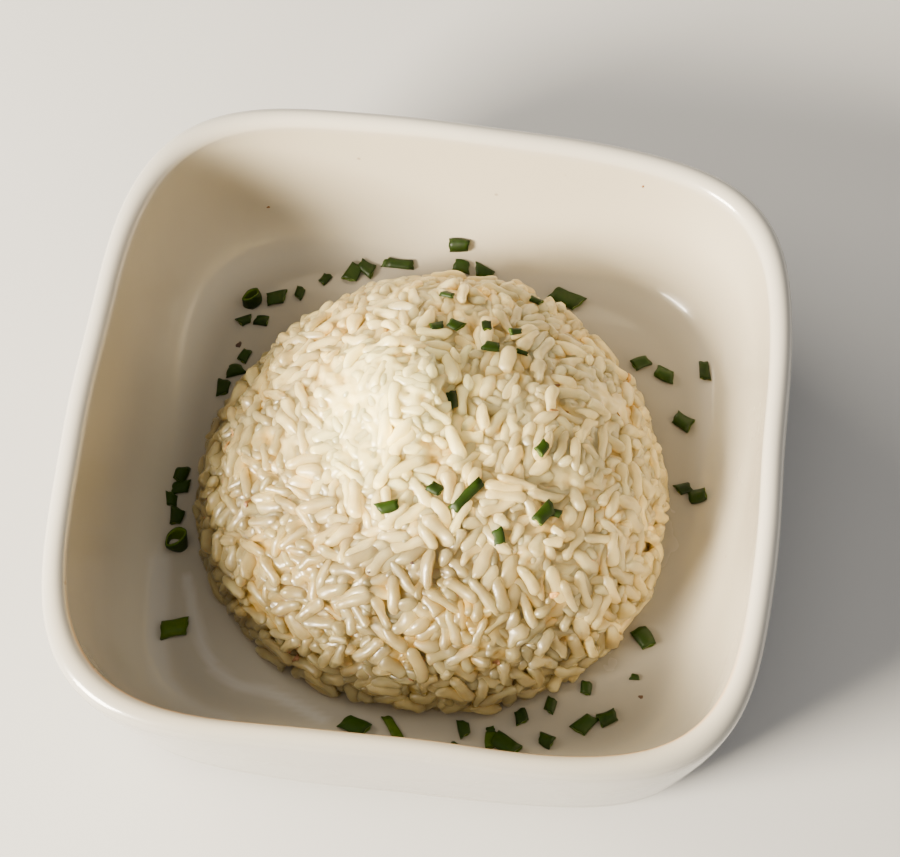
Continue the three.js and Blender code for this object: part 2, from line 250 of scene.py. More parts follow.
CHIVES_IN_FRONT = [
    (41, -42.5, 2.8, 2.4, 90, 0),
    (33.5, -47.5, 3.2, 2.4, 80, 0),
    (27.5, -51, 3, 2.8, 110, 0),
    (46.5, -49, 4, 3.2, 30, 0),
    (41.5, -51, 4.8, 3.4, 50, 0),
    (33.5, -56, 3.2, 3, 160, 0),
    (15, -55.5, 3.4, 2.6, 110, 0),
    (21, -55, 1.8, 1.6, 20, 0),
    (-0.5, -57.5, 6.6, 2.2, 125, 0),
    (-9, -58, 5.6, 4, 160, 0),
    (0.5, -61, 3.2, 2.6, 160, 0),
    (11, -62, 3.4, 2.8, 20, 0),
    (14, -61, 3.2, 2.8, 140, 0),
    (21.4, -57.6, 3.6, 2.9, 100, 0),
    (24.8, -58.6, 6.2, 3.8, 150, 0),
    (30.5, -61.5, 3, 2.4, 0, 0),
]
CHIVES_LEFT = [
    (-59, -2, 3.4, 3, 80, 0),
    (-58.5, -5, 4, 3, 20, 0),
    (-60, -8.5, 3, 2.6, 100, 0),
    (-58, -12.5, 3.6, 3, 90, 0),
    (-57, -19, 3.6, 5, 110, 1),
    (-53.5, -40, 6, 4.2, 20, 0),
]
CHIVES_ON_RICE = [
    (-0.5, 38.5, 2.8, 2.2, 150, 0),
    (-1.5, 28, 3, 2.2, 30, 0),
    (2.5, 29, 3, 2.8, 160, 0),
    (9.5, 29, 2.4, 2.2, 100, 0),
    (16, 29, 2.8, 2, 30, 0),
    (11.5, 24, 3.4, 2.6, 0, 0),
    (18.5, 24.5, 2.4, 1.4, 0, 0),
    (19, 43, 2.8, 2.4, 0, 0),
    (5.5, 8, 4, 3, 110, 0),
    (25.5, -0.5, 3, 2.6, 60, 0),
    (4, -13.5, 3, 2.8, 160, 0),
    (11, -14, 9, 2.4, 55, 0),
    (-5.5, -19, 4.6, 2.6, 20, 0),
    (28, -14.5, 5.4, 3, 55, 0),
    (30.5, -13.5, 2.6, 2, 0, 0),
    (19, -21.5, 3.4, 2.6, 110, 0),
]
# Bits of husk and scorched bran: x, y, length, width, turn in degrees and tone, 0 black to 1 orange.
HUSKS_ON_RICE = [
    (27.4, 18, 1.7, 1.1, 40, 0.4),
    (27.1, 9.6, 2.4, 0.8, 20, 0.8),
    (30.5, 11.5, 1.2, 0.6, 120, 0.7),
    (41.6, 29.2, 3.2, 1.7, 60, 0.95),
    (41.6, 16.4, 2.6, 1.2, 80, 0.8),
    (-45.7, -0.6, 5.8, 0.6, 85, 0.75),
    (-37.6, -17.5, 2, 0.9, 70, 0.4),
    (-47.8, -14, 0.9, 0.7, 0, 0.2),
    (32.4, -30.8, 2.2, 1.4, 50, 0.95),
    (21.4, -45.3, 1.7, 1, 30, 0.5),
    (3, -50.3, 1.4, 0.9, 0, 0.45),
    (-23.4, -46.4, 1.3, 0.8, 0, 0.4),
    (1, -29.9, 0.9, 0.8, 0, 0.0),
    (-8.1, -32.5, 0.8, 0.6, 0, 0.05),
]
SPECKS_IN_BOWL = [
    (-51.4, 34, 1.8, 1.2, 60, 0.0),
    (53.3, -42.9, 1.1, 0.8, 0, 0.1),
    (-48.4, 65.7, 0.9, 0.6, 20, 0.5),
    (40.9, 69.6, 1.0, 0.5, 80, 0.5),
]
# Chives rest on the grain tops within the first reach, and crumbs follow those within the second.
REST_REACH = 1.0
REST_PERCENTILE = 98
DRAPE_REACH = 0.6
# What lies deeper than this under the dome's surface isn't a grain top.
TOPS_FROM = -3.0
CHIVE_SIDES = 22
CHIVE_STEPS = 6
CHIVE_WALL = 0.38
LEAST_HOLLOW = 0.12
STANDING_SQUASH = (0.72, 0.92)
LYING_SQUASH = (0.42, 0.62)
CUT_SLANT = 0.5
CUT_INSET = 0.02
RAGGED_CUT = 0.12
CHIVE_TAPER = 0.22
CHIVE_BEND = 0.25
CHIVE_RIPPLE = 0.06
CHIVE_FLUTE = 0.07
CHIVE_SWELL = 0.08
CHIVE_TONE = 0.38
CHIVE_TONE_SPREAD = 0.2
LYING_SINK = 0.12
STANDING_SINK = 0.2
STANDING_LEAN = 0.25
HUSK_RINGS = 7
HUSK_SIDES = 12
# Teeth round a crumb's edge: size and how many.
HUSK_TEETH = [(0.16, 3), (0.1, 5)]
# How far a crumb bulges up and down: as a share of its width, and at most in millimetres.
HUSK_BULGE = 0.22
HUSK_MOST_BULGE = 0.3
HUSK_LIFT = 0.08

# Stage: the plain floor in millimetres, and the height in metres that the lights look at.
STAGE_HALF = 4000
STAGE_DROP = 0.1
LIGHT_AIM = 0.02


def outline_reach(turn, squareness):
    """Distance from the middle to the bowl's outline of half size 1 in direction turn."""
    rounding = BACK_CORNER_ROUNDING * np.sin(turn) + DIAGONAL_ROUNDING * np.sin(2 * turn)
    power = squareness - rounding
    across = np.abs(np.cos(turn)) ** power
    along = np.abs(np.sin(turn)) ** power
    even = (across + along) ** (-1 / power)
    swell = LEFT_SWELL * np.cos(turn) + FRONT_SWELL * np.sin(turn)
    diagonal = DIAGONAL_SWELL * np.sin(2 * turn)
    return even * (1 - swell - diagonal + SIDE_SWELL * np.cos(2 * turn))


def centre_shift():
    """What puts the middle of the rim's outline over the origin."""
    turn = np.linspace(0, 2 * np.pi, 720, endpoint=False)
    reach = RIM_HALF * outline_reach(turn, RIM_SQUARENESS)
    x = reach * np.cos(turn)
    y = reach * np.sin(turn)
    return -(x.max() + x.min()) / 2, -(y.max() + y.min()) / 2


SHIFT_X, SHIFT_Y = centre_shift()


def smooth_step(value, low, high):
    """0 up to low, 1 from high on, and a smooth climb between them."""
    t = np.clip((value - low) / (high - low), 0, 1)
    return t * t * (3 - 2 * t)


def arc(x, z, radius_x, radius_z, start, stop, steps):
    """Points of an ellipse about x, z from one angle in degrees to another."""
    angle = np.radians(np.linspace(start, stop, steps + 1))
    return np.stack([x + radius_x * np.cos(angle), z + radius_z * np.sin(angle)], 1)


def bezier(points, steps):
    """A Bezier curve of any degree through steps + 1 points."""
    t = np.linspace(0, 1, steps + 1)[:, None]
    level = [np.array(p, float)[None, :].repeat(len(t), 0) for p in points]
    while len(level) > 1:
        level = [(1 - t) * a + t * b for a, b in zip(level, level[1:])]
    return level[0]


LIP_MIDDLE = RIM_HALF - LIP_RADIUS
INNER_WALL = bezier(
    [
        (LIP_MIDDLE - LIP_RADIUS, RIM_HEIGHT),
        (INNER_WALL_HALF, WALL_BEND_HEIGHT),
        (INNER_CURVE_HALF, FLOOR_HEIGHT),
        (FLOOR_HALF, FLOOR_HEIGHT),
    ],
    INNER_WALL_STEPS,
)


def bowl_height(x, y):
    """Height of the bowl's inner surface over the table at x, y."""
    turn = math.atan2(y - SHIFT_Y, x - SHIFT_X)
    half = math.hypot(x - SHIFT_X, y - SHIFT_Y) / outline_reach(turn, RIM_SQUARENESS)
    return float(np.interp(half, INNER_WALL[::-1, 0], INNER_WALL[::-1, 1]))


def new_piece(name, points, faces, material, fields=None):
    """A mesh object from points in millimetres, faces and numbers kept at its points."""
    mesh = bpy.data.meshes.new(name)
    corners = faces.shape[1]
    mesh.vertices.add(len(points))
    mesh.vertices.foreach_set("co", (np.asarray(points) * MM).ravel())
    mesh.loops.add(faces.size)
    mesh.loops.foreach_set("vertex_index", faces.ravel().astype(np.int32))
    mesh.polygons.add(len(faces))
    mesh.polygons.foreach_set("loop_start", np.arange(0, faces.size, corners, dtype=np.int32))
    mesh.polygons.foreach_set("use_smooth", np.ones(len(faces), dtype=bool))
    for field, values in (fields or {}).items():
        attribute = mesh.attributes.new(field, "FLOAT", "POINT")
        attribute.data.foreach_set("value", values.astype(np.float32))
    mesh.update(calc_edges=True)
    mesh.validate()
    mesh.materials.append(material)
    piece = bpy.data.objects.new(name, mesh)
    bpy.context.scene.collection.objects.link(piece)
    return piece


def grid_faces(rows, columns):
    """Quads between neighbouring rows of a grid that closes round its columns."""
    row, column = np.meshgrid(np.arange(rows - 1), np.arange(columns), indexing="ij")
    after = (column + 1) % columns
    here = row * columns
    there = here + columns
    quad = [here + column, here + after, there + after, there + column]
    return np.stack(quad, -1).reshape(-1, 4)


class Nodes:
    """A short way to write a node material."""

    def __init__(self, name):
        self.material = bpy.data.materials.new(name)
        self.material.use_nodes = True
        self.tree = self.material.node_tree
        self.shader = self.tree.nodes["Principled BSDF"]

    def add(self, kind, **settings):
        """A new node. Each setting is a property of its own or else the value of an input."""
        node = self.tree.nodes.new(kind)
        for key, value in settings.items():
            if hasattr(node, key):
                setattr(node, key, value)
            else:
                node.inputs[key.replace("_", " ").title()].default_value = value
        return node

    def link(self, source, target):
        self.tree.links.new(source, target)

    def feed(self, value, socket):
        """Gives a socket what another one puts out, or else a plain colour or number."""
        if isinstance(value, bpy.types.NodeSocket):
            self.link(value, socket)
        elif isinstance(value, tuple):
            socket.default_value = (*value, 1.0)
        else:
            socket.default_value = value

    def coordinates(self):
        return self.add("ShaderNodeTexCoord").outputs["Object"]

    def noise(self, scale, detail=2.0, roughness=0.5):
        node = self.add("ShaderNodeTexNoise", scale=scale, detail=detail, roughness=roughness)
        self.link(self.coordinates(), node.inputs["Vector"])
        return node.outputs["Fac"]

    def ramp(self, source, *stops):
        """A colour or grey value from (position, colour) stops."""
        node = self.add("ShaderNodeValToRGB")
        elements = node.color_ramp.elements
        while len(elements) < len(stops):
            elements.new(0.5)
        for element, (position, colour) in zip(elements, stops):
            element.position = position
            shade = colour if isinstance(colour, tuple) else (colour, colour, colour)
            element.color = (*shade, 1.0)
        self.link(source, node.inputs["Fac"])
        return node.outputs["Color"]

    def mix(self, fac, first, second, blend="MIX"):
        node = self.add("ShaderNodeMix", data_type="RGBA", blend_type=blend)
        for value, index in ((fac, 0), (first, 6), (second, 7)):
            self.feed(value, node.inputs[index])
        return node.outputs[2]

    def times(self, source, factor):
        node = self.add("ShaderNodeMath", operation="MULTIPLY")
        self.feed(source, node.inputs[0])
        self.feed(factor, node.inputs[1])
        return node.outputs[0]

    def field(self, name):
        return self.add("ShaderNodeAttribute", attribute_name=name).outputs["Fac"]

    def bump(self, height, distance, strength, before=None):
        node = self.add("ShaderNodeBump", strength=strength, distance=distance)
        self.link(height, node.inputs["Height"])
        if before is not None:
            self.link(before, node.inputs["Normal"])
        return node.outputs["Normal"]

    def finish(self, colour, roughness, normal, **settings):
        for value, name in ((colour, "Base Color"), (roughness, "Roughness"), (normal, "Normal")):
            self.feed(value, self.shader.inputs[name])
        for key, value in settings.items():
            name = key.replace("_", " ").title().replace("Ior", "IOR")
            self.shader.inputs[name].default_value = value
        return self.material


def glaze_material():
    """Ivory gloss glaze: cloudy in tone, with a few fine iron specks. The paler lip is partly a painted
    highlight, the darker outside and floor are painted shade, and pale bands on the floor are painted
    reflections.
    """
    m = Nodes("glaze")
    clouds = m.noise(9.0, 4.0, 0.55)
    colour = m.ramp(clouds, (0.35, (0.455, 0.402, 0.296)), (0.65, (0.505, 0.451, 0.338)))
    fine = m.noise(70.0, 3.0)
    colour = m.mix(m.ramp(fine, (0.3, 0.0), (0.7, 0.10)), colour, (0.42, 0.36, 0.27))
    # Each region: its field, how strongly it shows and its colour.
    regions = (
        # Painted shade: the outside is a darker, greyer copy of the glaze.
        ("outside", 0.8, (0.25, 0.245, 0.23)),
        # Painted shade: the bowl's floor is painted darker than its walls.
        ("floor", 0.8, (0.205, 0.181, 0.139)),
        # Painted reflection: pale bands on the floor.
        ("painted_reflection", 0.28, (0.46, 0.445, 0.41)),
        # The lip is paler: partly thin glaze, partly a painted highlight.
        ("lip", 0.45, (0.55, 0.525, 0.475)),
        ("edge", 0.8, (0.55, 0.28, 0.09)),
    )
    for region, strength, tint in regions:
        colour = m.mix(m.times(m.field(region), strength), colour, tint)
    specks = m.add("ShaderNodeTexVoronoi", scale=85.0, randomness=1.0)
    m.link(m.coordinates(), specks.inputs["Vector"])
    near = m.ramp(specks.outputs["Distance"], (0.0, 1.0), (0.055, 0.0))
    few = m.ramp(m.noise(23.0, 1.0), (0.60, 0.0), (0.66, 1.0))
    colour = m.mix(m.mix(1.0, near, few, "MULTIPLY"), colour, (0.16, 0.11, 0.07))
    rough = m.ramp(m.noise(30.0, 4.0, 0.6), (0.3, 0.16), (0.75, 0.30))
    normal = m.bump(m.noise(45.0, 2.0), 0.00012, 0.6)
    normal = m.bump(m.noise(420.0, 2.0), 0.00001, 0.5, normal)
    return m.finish(colour, rough, normal, coat_weight=0.5, coat_roughness=0.07, specular_ior_level=0.5)


def rice_material():
    """Moist cooked rice: light passes into each grain, and tone says how white or yellow it is; the
    tone also carries painted light on the crown and painted shade toward the front left.
    """
    m = Nodes("cooked_rice")
    # Tone 0 holds the painted shade of the front left and tone 1 the painted light of the crown.
    base = m.ramp(
        m.field("tone"),
        (0.0, (0.41, 0.31, 0.14)),
        (0.34, (0.48, 0.363, 0.152)),
        (0.62, (0.67, 0.51, 0.20)),
        (1.0, (0.97, 0.80, 0.315)),
    )
    patch = m.ramp(m.noise(60.0, 2.0), (0.40, 0.0), (0.68, 0.55))
    colour = m.mix(m.times(patch, 0.8), base, (0.56, 0.395, 0.125))
    # Painted shade: the deeper a point lies under the dome's surface, the darker and browner it is
    # painted.
    under = m.ramp(m.field("depth"), (0.12, 0.0), (0.45, 0.42), (1.0, 0.85))
    colour = m.mix(under, colour, (0.58, 0.375, 0.105))
    # Painted shade: some of the gaps are painted a deeper gold.
    gap = m.ramp(m.field("depth"), (0.12, 0.0), (0.36, 1.0))
    gold = m.ramp(m.noise(120.0, 2.0), (0.50, 0.0), (0.62, 0.75))
    colour = m.mix(m.mix(1.0, gap, gold, "MULTIPLY"), colour, (0.66, 0.38, 0.06))
    heart = m.ramp(m.noise(230.0, 2.0), (0.42, 0.0), (0.68, 0.22))
    colour = m.mix(heart, colour, (0.86, 0.74, 0.35))
    # Painted shade: what lies below the usual tone, mostly toward the front left, is darker all over.
    shade = m.ramp(m.field("tone"), (0.0, (0.575, 0.562, 0.51)), (0.34, 1.0))
    colour = m.mix(1.0, colour, shade, "MULTIPLY")
    rough = m.ramp(m.noise(300.0, 3.0), (0.3, 0.27), (0.7, 0.50))
    normal = m.bump(m.noise(900.0, 3.0, 0.6), 0.00006, 0.5)
    normal = m.bump(m.noise(260.0, 1.0), 0.00012, 0.5, normal)
    m.shader.subsurface_method = "BURLEY"
    return m.finish(
        colour,
        rough,
        normal,
        subsurface_weight=0.9,
        subsurface_radius=(0.0072, 0.0056, 0.0034),
        subsurface_scale=1.0,
        specular_ior_level=0.45,
        coat_weight=0.30,
        coat_roughness=0.11,
    )


def chive_material():
    """Fresh chive: dark satin skin with fine veins, a paler cut edge and inside."""
    m = Nodes("chive")
    skin = m.ramp(
        m.field("tone"),
        (0.0, (0.006, 0.012, 0.001)),
        (0.6, (0.015, 0.032, 0.0015)),
        (1.0, (0.08, 0.12, 0.003)),
    )
    mottled = m.ramp(m.noise(900.0, 3.0), (0.35, 0.0), (0.75, 0.5))
    skin = m.mix(mottled, skin, (0.018, 0.041, 0.002))
    colour = m.mix(m.field("inside"), skin, (0.055, 0.09, 0.0045))
    normal = m.bump(m.noise(1500.0, 2.0), 0.00005, 0.6)
    rough = m.ramp(m.noise(600.0, 2.0), (0.3, 0.38), (0.7, 0.55))
    return m.finish(
        colour,
        rough,
        normal,
        subsurface_weight=0.12,
        subsurface_radius=(0.0004, 0.0009, 0.0003),
        subsurface_scale=1.0,
        specular_ior_level=0.25,
    )


def husk_material():
    """Bits of husk and scorched bran, from orange brown to nearly black."""
    m = Nodes("husk")
    colour = m.ramp(
        m.field("tone"),
        (0.0, (0.02, 0.012, 0.008)),
        (0.5, (0.22, 0.09, 0.025)),
        (1.0, (0.60, 0.30, 0.05)),
    )
    colour = m.mix(m.ramp(m.noise(900.0, 2.0), (0.4, 0.0), (0.7, 0.5)), colour, (0.12, 0.05, 0.02))
    return m.finish(colour, 0.55, m.bump(m.noise(1200.0), 0.00005, 0.6))


def floor_material():
    """Matt pale grey."""
    m = Nodes("studio_floor")
    colour = m.ramp(m.noise(4.0, 2.0), (0.4, (0.42, 0.418, 0.41)), (0.6, (0.45, 0.448, 0.44)))
    return m.finish(colour, 0.7, m.bump(m.noise(200.0), 0.0001, 0.2))


def line_gap(x, y, start, end):
    """How far x, y lies from the line between two points."""
    start = np.array(start, float)
    run = np.array(end, float) - start
    share = np.clip(((x - start[0]) * run[0] + (y - start[1]) * run[1]) / run.dot(run), 0, 1)
    return np.hypot(x - start[0] - share * run[0], y - start[1] - share * run[1])


def make_bowl():
    """The bowl as one skin, from the middle of its underside round to the middle of its floor."""
    foot_edge = [
        (FOOT_INNER_HALF - FOOT_EDGE_ROUNDING, FOOT_RECESS),
        (FOOT_INNER_HALF - FOOT_EDGE_ROUNDING / 4, FOOT_RECESS),
        (FOOT_INNER_HALF, 0),
    ]
    outer_wall = [
        (BODY_HALF, BODY_EDGE_HEIGHT),
        (BODY_HALF + OUTER_WALL_BULGE, WALL_BEND_HEIGHT),
        (RIM_HALF, OUTER_WALL_TOP),
    ]
    outer = np.vstack([
        [(half, FOOT_RECESS) for half in UNDERSIDE_RINGS],
        bezier(foot_edge, FOOT_STEPS),
        [(FOOT_INNER_HALF + FOOT_RIDGE_WIDTH, 0)],
        arc(FOOT_HALF, BODY_EDGE_HEIGHT, BODY_HALF - FOOT_HALF, BODY_EDGE_HEIGHT, -90, -6, BODY_STEPS),
        bezier(outer_wall, OUTER_WALL_STEPS),
    ])
    inner = np.vstack([
        arc(LIP_MIDDLE, RIM_HEIGHT, LIP_RADIUS, LIP_RADIUS, 6, 174, LIP_STEPS),
        INNER_WALL,
        [(half, FLOOR_HEIGHT) for half in FLOOR_RINGS],
    ])
    section = np.vstack([outer, inner])
    even = np.linspace(0, 2 * np.pi, BOWL_COLUMNS, endpoint=False)
    turn = (even + CORNER_CROWDING / 4 * np.sin(4 * even))[None, :]
    half = section[:, :1]
    z = section[:, 1:]
    climb = smooth_step(z, WARP_START_HEIGHT, RIM_HEIGHT)
    outside = (np.arange(len(section)) < len(outer))[:, None]
    outer_squareness = BODY_SQUARENESS + climb * (RIM_SQUARENESS - BODY_SQUARENESS)
    reach = half * outline_reach(turn, np.where(outside, outer_squareness, RIM_SQUARENESS))
    hand = 0.0
    for size, count, twist, start in HAND_WAVES:
        hand = hand + size * np.sin(count * turn + twist * z + start)
    reach = reach + hand * smooth_step(half, HAND_FROM, HAND_TO)
    x = reach * np.cos(turn) + SHIFT_X
    y = reach * np.sin(turn) + SHIFT_Y
    wave = RIM_CORNER_WARP * np.sin(2 * turn) + RIM_SIDE_RISE * np.cos(4 * turn)
    points = np.stack([x, y, z + climb * wave], -1).reshape(-1, 3)
    past_outer = np.arange(len(section))[:, None] - len(outer)
    # Painted shade: where the outside's darker copy of the glaze goes.
    outer_side = 1 - smooth_step(past_outer, *OUTSIDE_FADE_ROWS)
    # Painted shade: where the bowl's floor is painted darker.
    floor = 1 - smooth_step(np.where(outside, RIM_HALF, half), FLOOR_HALF, FLOOR_HALF + FLOOR_FADE)
    # Glaze runs thin along the lip's inner edge in front, where warm clay shows through.
    front = smooth_step(-np.sin(turn), *FRONT_FADE)
    edge = np.exp(-(((past_outer - CLAY_LINE_ROW) / CLAY_LINE_SPREAD) ** 2)) * front
    # The lip is painted paler, partly thin glaze and partly a painted highlight, and less pale in
    # front, where the key light already brightens it.
    lip = smooth_step(z, RIM_HEIGHT - LIP_FADE, RIM_HEIGHT + LIP_FADE) * (1 - FRONT_LIP_LOSS * front)
    # Painted reflection: pale bands across the floor.
    painted_reflection = np.zeros_like(x)
    for width, line in REFLECTION_BANDS:
        for start, end in zip(line, line[1:]):
            painted_reflection = np.maximum(painted_reflection, np.exp(-((line_gap(x, y, start, end) / width) ** 4)))
    painted_reflection = painted_reflection * ~outside
    fields = {"lip": lip, "outside": outer_side, "floor": floor, "edge": edge, "painted_reflection": painted_reflection}
    fields = {name: np.broadcast_to(values, x.shape).ravel() for name, values in fields.items()}
    return new_piece("bowl", points, grid_faces(len(section), BOWL_COLUMNS), glaze_material(), fields)


def dome_relief(x, y):
    """What stands over or under the even dome at x, y: its peak, the crease beside it and low lumps."""
    away = ((x - PEAK["x"]) ** 2 + (y - PEAK["y"]) ** 2) / PEAK["spread"] ** 2
    relief = PEAK["rise"] * np.exp(-(away ** PEAK["steepness"]))
    gap = line_gap(x, y, CREASE["start"], CREASE["end"])
    relief = relief - CREASE["depth"] * np.exp(-(gap**2) / (2 * CREASE["spread"] ** 2))
    small, long = SMALL_LUMPS, LONG_LUMPS
    across = np.sin(x / small["across"] + small["start"])
    relief = relief + small["height"] * across * np.sin(y / small["along"])
    return relief + long["height"] * np.sin(x / long["across"] - y / long["along"])


def dome_field(points):
    """How far points lie outside the dome's surface in millimetres, and the way out at each."""

    def level(p):
        x = p[:, 0] - DOME_MIDDLE[0]
        y = p[:, 1] - DOME_MIDDLE[1]
        turn = np.arctan2(y, x)
        radius = DOME_RADIUS + DOME_UNEVEN * np.sin(3 * turn + DOME_UNEVEN_TURN)
        height = np.maximum(p[:, 2] - DOME_BASE - dome_relief(p[:, 0], p[:, 1]), 0)
        k = DOME_ROUNDNESS
        return ((np.hypot(x, y) / radius) ** k + (height / DOME_RISE) ** k) ** (1 / k)

    step = 0.05
    here = level(points)
    slope = np.stack([level(points + step * axis) - here for axis in np.eye(3)], 1) / step
    steep = np.linalg.norm(slope, axis=1) + 1e-9
    return (here - 1) / steep, slope / steep[:, None]


def dome_point(x, y):
    """The point of the dome's surface over x, y and its normal."""
    halvings, headroom = 30, 4
    low, high = DOME_BASE, DOME_BASE + DOME_RISE + PEAK["rise"] + headroom
    for _ in range(halvings):
        middle = (low + high) / 2
        distance, _normal = dome_field(np.array([[x, y, middle]]))
        if distance[0] > 0:
            high = middle
        else:
            low = middle
    point = np.array([[x, y, low]])
    return point[0], dome_field(point)[1][0]


def close_pairs(points, reach):
    """Index pairs of points that share a cell of size reach or lie in neighbouring ones."""
    cells = np.floor(points / reach).astype(np.int64)
    cells -= cells.min(0) - 1
    size = cells.max(0) + 2
    key = (cells[:, 0] * size[1] + cells[:, 1]) * size[2] + cells[:, 2]
    order = np.argsort(key, kind="stable")
    key = key[order]
    own = np.arange(len(points))
    first, second = [], []
    half_space = [(0, 0, 0), (0, 0, 1)] + [(0, 1, k) for k in (-1, 0, 1)]
    half_space += [(1, j, k) for j in (-1, 0, 1) for k in (-1, 0, 1)]
    for i, j, k in half_space:
        shifted = key + (i * size[1] + j) * size[2] + k
        low = np.searchsorted(key, shifted, "left")
        high = np.searchsorted(key, shifted, "right")
        if (i, j, k) == (0, 0, 0):
            low = own + 1
        count = np.maximum(high - low, 0)
        start = np.repeat(np.cumsum(count) - count, count)
        first.append(np.repeat(own, count))
        second.append(np.arange(count.sum()) - start + np.repeat(low, count))
    return order[np.concatenate(first)], order[np.concatenate(second)]


def unit(vectors):
    """The same directions at length 1."""
    return vectors / (np.linalg.norm(vectors, axis=-1, keepdims=True) + 1e-12)


def phase(rng):
    """A random start for a wave."""
    return rng.uniform(0, 6)


def pack_grains(rng):
    """Fills the dome's outer shell with grains that touch and don't cross.

    Each grain is a row of beads. Beads of different grains push each other apart, the dome's
    surface and the bowl's floor hold them in, and each grain is straightened after every round."""
    kinds = np.concatenate([np.full(kind["count"], i) for i, kind in enumerate(GRAIN_KINDS.values())])
    total = len(kinds)
    rng.shuffle(kinds)
    lengths = np.array([kind["length"] for kind in GRAIN_KINDS.values()])[kinds]
    lengths = lengths * rng.uniform(*LENGTH_RANGE, total)
    widths = np.array([kind["width"] for kind in GRAIN_KINDS.values()])[kinds]
    widths = widths * rng.uniform(*WIDTH_RANGE, total)
    radius = widths * BEAD_SHARE
    corners = (-SCATTER_HALF, -SCATTER_HALF, DOME_BASE), (SCATTER_HALF, SCATTER_HALF, SCATTER_TOP)
    centres = np.zeros((0, 3))
    while len(centres) < total:
        scattered = rng.uniform(*corners, (SCATTER_BATCH, 3))
        distance, _normal = dome_field(scattered)
        inside = (distance < -SCATTER_SKIN) & (distance > -SHELL_DEPTH)
        centres = np.vstack([centres, scattered[inside]])
    centres = centres[:total]
    _distance, normals = dome_field(centres)
    directions = rng.normal(size=(total, 3))
    directions -= LYING_SHARE * (directions * normals).sum(1)[:, None] * normals
    directions = unit(directions)
    along = np.linspace(-1, 1, BEADS)
    stations = along[None, :] * (lengths / 2 - radius)[:, None]
    bead_share = np.where(np.abs(along) > 0.9, END_BEAD_SHARE, 1.0)
    bead_radius = (radius[:, None] * bead_share[None, :]).ravel()
    proud = rng.uniform(LOWEST_PROUD, HIGHEST_PROUD, total)
    proud = proud + FOOT_PROUD * (1 - smooth_step(centres[:, 2], FOOT_FROM, FOOT_TO))
    grain_of = np.repeat(np.arange(total), BEADS)
    for _ in range(PACKING_ROUNDS):
        beads = (centres[:, None, :] + stations[:, :, None] * directions[:, None, :]).reshape(-1, 3)
        a, b = close_pairs(beads, 2 * bead_radius.max())
        apart = grain_of[a] != grain_of[b]
        a, b = a[apart], b[apart]
        gap = beads[a] - beads[b]
        distance = np.linalg.norm(gap, axis=1) + 1e-9
        overlap = bead_radius[a] + bead_radius[b] - PACKING_SLACK - distance
        touching = overlap > 0
        a, b = a[touching], b[touching]
        push = gap[touching] / distance[touching][:, None] * (0.5 * overlap[touching])[:, None]
        count = np.bincount(a, minlength=len(beads)) + np.bincount(b, minlength=len(beads))
        move = np.stack(
            [
                np.bincount(a, push[:, k], len(beads)) - np.bincount(b, push[:, k], len(beads))
                for k in range(3)
            ],
            1,
        )
        beads = beads + PACKING_PUSH * move / np.maximum(count, 1)[:, None]
        height, outward = dome_field(beads)
        outside = np.maximum(height + bead_radius - np.repeat(proud, BEADS), 0)
        beads = beads - outward * outside[:, None]
        beads = beads + PACKING_DRIFT * outward * (height > -SHELL_DEPTH)[:, None]
        too_deep = np.maximum(-SHELL_DEPTH - 1 - height, 0)
        beads = beads + outward * (0.5 * too_deep)[:, None]
        beads[:, 2] = np.maximum(beads[:, 2], FLOOR_HEIGHT + bead_radius)
        rows = beads.reshape(total, BEADS, 3)
        centres = rows.mean(1)
        directions = unit((stations[:, :, None] * (rows - centres[:, None, :])).sum(1))
    return kinds, lengths, widths, centres, directions


def grain_shape(rng, kind):
    """One grain of length and width 1 along Y, flat, bent and uneven, as rows of points."""
    along = np.linspace(0, np.pi, GRAIN_RINGS)
    y = -np.cos(along)
    far_end, near_end = rng.uniform(*ROUND_END), rng.uniform(*ROUND_END)
    ends = np.where(y > 0, far_end, near_end) * kind["width"] / kind["length"]
    closing = np.clip((np.abs(y) - 1 + ends) / ends, 0, 1)
    fat = np.sqrt(np.maximum(1 - closing**2, 0))
    fat = fat * (1 + TAPER * rng.normal() * y + WAIST * np.sin(WAIST_WAVE * y + phase(rng)))
    turn = np.linspace(0, 2 * np.pi, GRAIN_SIDES, endpoint=False)[None, :]
    ridge = 1.0
    for size, count, twist in RIDGES:
        ridge = ridge + size * np.sin(count * turn + twist * y[:, None] + phase(rng))
    flat = rng.uniform(*FLATNESS)
    x = 0.5 * fat[:, None] * ridge * np.cos(turn)
    z = 0.5 * flat * fat[:, None] * ridge * np.sin(turn)
    y = np.broadcast_to(0.5 * y[:, None], x.shape)
    if kind["blunt"]:
        cut = 0.5 - BLUNT_LOSS * rng.uniform(0.3, 1) + BLUNT_SLANT * x * rng.uniform(-1, 1)
        y = np.minimum(y, cut)
    bend = kind["bend"] / kind["width"] * (4 * y**2 - 0.4)
    x = x + bend * rng.uniform(*BEND_RANGE) * BEND_SHARE
    return np.stack([x, y, z], -1).reshape(-1, 3)


def frame_of(directions, normals, spin):
    """Rotation matrices whose Y column is the grain's direction, turned about it by spin."""
    side = unit(np.cross(directions, normals))
    up = np.cross(side, directions)
    cos, sin = np.cos(spin)[:, None], np.sin(spin)[:, None]
    return np.stack([cos * side + sin * up, directions, cos * up - sin * side], -1)


def crossing_waves(points, seed, count, shortest, longest):
    """Uneven numbers, about -1 to 1, from waves that cross the points in random directions."""
    waves = np.random.default_rng(seed)
    total = np.zeros(len(points))
    for _ in range(count):
        along = unit(waves.normal(size=3))
        wave_length = waves.uniform(shortest, longest)
        total += np.sin(points @ along * 2 * np.pi / wave_length + phase(waves))
    return total * math.sqrt(2 / count) / 2


